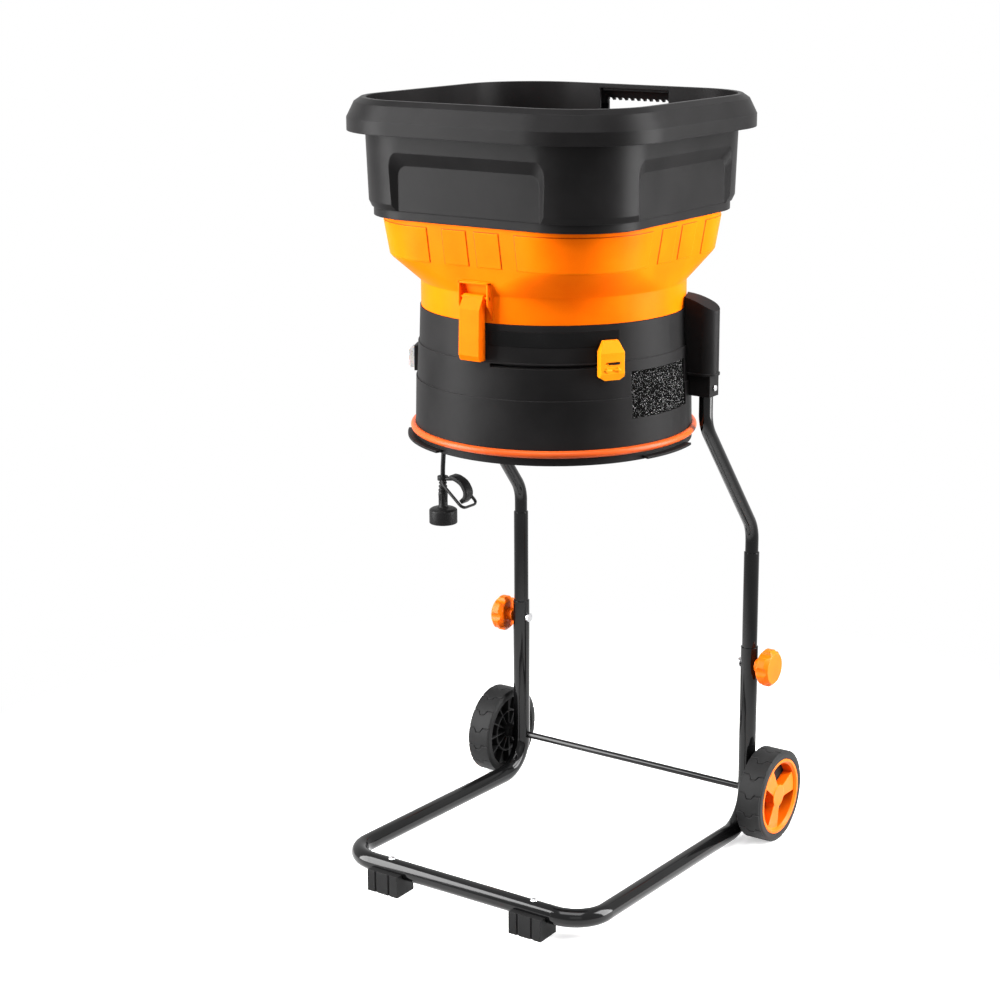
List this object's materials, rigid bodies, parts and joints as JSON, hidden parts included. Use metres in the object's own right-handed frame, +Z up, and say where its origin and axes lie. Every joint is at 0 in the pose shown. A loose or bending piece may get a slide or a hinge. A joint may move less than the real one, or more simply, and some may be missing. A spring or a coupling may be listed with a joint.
{
  "type": "leaf shredder",
  "caption": "Electric leaf shredder: square hopper and funnel over a round line-cutting drum, on telescoping legs with a wheeled tube stand and lobed clamp knobs.",
  "frame": {"origin": "on the floor, under the middle of the part's bounding box", "axes": "+Z up, +X towards the right wheel, -Y towards the front bar of the stand"},
  "size_m": [0.511, 0.53, 1.08],
  "materials": {
    "black_tube": "gloss black enamel",
    "bare_steel": "zinc plated",
    "black_plastic": "satin moulded",
    "orange_plastic": "satin moulded",
    "wheel_black": "hard moulded tread",
    "motor_copper": "varnished winding",
    "nylon_line": "extruded",
    "intake_foam": "open-cell foam",
    "clear_boot": "clear soft moulding",
    "cord_rubber": "matt rubber"
  },
  "bodies": {
    "base": {"lower_frame": "black_tube", "axle": "black_tube", "axle_spacers": "black_plastic", "axle_nuts": "bare_steel", "foot_left": "black_plastic", "foot_right": "black_plastic", "foot_screws": "bare_steel", "clamp_bolts": "bare_steel"},
    "wheel_left": {"tyre_left": "wheel_black", "hub_left": "orange_plastic"},
    "wheel_right": {"tyre_right": "wheel_black", "hub_right": "orange_plastic"},
    "knob_left": {"knob_left": "orange_plastic"},
    "knob_right": {"knob_right": "orange_plastic"},
    "upper": {"mid_tube_left": "black_tube", "mid_tube_right": "black_tube", "bent_tube_left": "black_tube", "bent_tube_right": "black_tube", "bracket_left": "black_plastic", "bracket_right": "black_plastic", "bracket_screws": "bare_steel", "drum": "black_plastic", "trim_ring": "orange_plastic", "bag_flange": "black_plastic", "motor_deck": "black_plastic", "deck_screws": "bare_steel", "motor_housing": "black_plastic", "motor_screws": "bare_steel", "stator": "motor_copper", "bearings": "bare_steel", "intake_duct": "black_plastic", "intake_foam": "intake_foam", "wire_duct": "black_plastic", "switch_bezel": "black_plastic", "switch_boot": "clear_boot", "funnel": "orange_plastic", "hopper": "black_plastic", "latch_pins": "bare_steel", "cord_gland": "cord_rubber", "power_cord": "cord_rubber", "strain_relief": "cord_rubber", "plug_body": "cord_rubber", "plug_blades": "bare_steel", "cord_hook": "black_plastic"},
    "rotor": {"rotor_core": "bare_steel", "shaft": "bare_steel", "cooling_fan": "black_plastic", "line_head": "orange_plastic", "cutting_lines": "nylon_line", "head_nut": "bare_steel"},
    "mulch_control": {"mulch_shutter": "black_plastic", "mulch_tab": "orange_plastic"},
    "latch_front": {"latch_front": "orange_plastic"},
    "latch_back": {"latch_back": "orange_plastic"},
    "switch_rocker": {"switch_rocker": "orange_plastic"}
  },
  "joints": [
    {"name": "leg_height", "type": "slide", "parent": "base", "child": "upper", "axis": [0, 0, 1], "range_m": [0, 0.1]},
    {"name": "wheel_left_spin", "type": "hinge", "parent": "base", "child": "wheel_left", "pos_m": [-0.2365, 0.198, 0.067], "axis": [1, 0, 0], "continuous": true},
    {"name": "wheel_right_spin", "type": "hinge", "parent": "base", "child": "wheel_right", "pos_m": [0.2365, 0.198, 0.067], "axis": [1, 0, 0], "continuous": true},
    {"name": "knob_left_turn", "type": "hinge", "parent": "base", "child": "knob_left", "pos_m": [-0.225, 0.198, 0.26], "axis": [1, 0, 0], "continuous": true},
    {"name": "knob_right_turn", "type": "hinge", "parent": "base", "child": "knob_right", "pos_m": [0.225, 0.198, 0.26], "axis": [1, 0, 0], "continuous": true},
    {"name": "rotor_spin", "type": "hinge", "parent": "upper", "child": "rotor", "pos_m": [0, -0.014, 0.76], "axis": [0, 0, 1], "continuous": true},
    {"name": "mulch_slide", "type": "hinge", "parent": "upper", "child": "mulch_control", "pos_m": [0, -0.014, 0.7478], "axis": [0, 0, 1], "range_deg": [-45, 0]},
    {"name": "latch_front_swing", "type": "hinge", "parent": "upper", "child": "latch_front", "pos_m": [0, -0.199, 0.834], "axis": [-1, 0, 0], "range_deg": [0, 100]},
    {"name": "latch_back_swing", "type": "hinge", "parent": "upper", "child": "latch_back", "pos_m": [0, 0.171, 0.834], "axis": [1, 0, 0], "range_deg": [0, 100]},
    {"name": "switch_rock", "type": "hinge", "parent": "upper", "child": "switch_rocker", "pos_m": [-0.16987, -0.09685, 0.722], "axis": [0.4384, -0.8988, 0], "range_deg": [0, 16]}
  ]
}
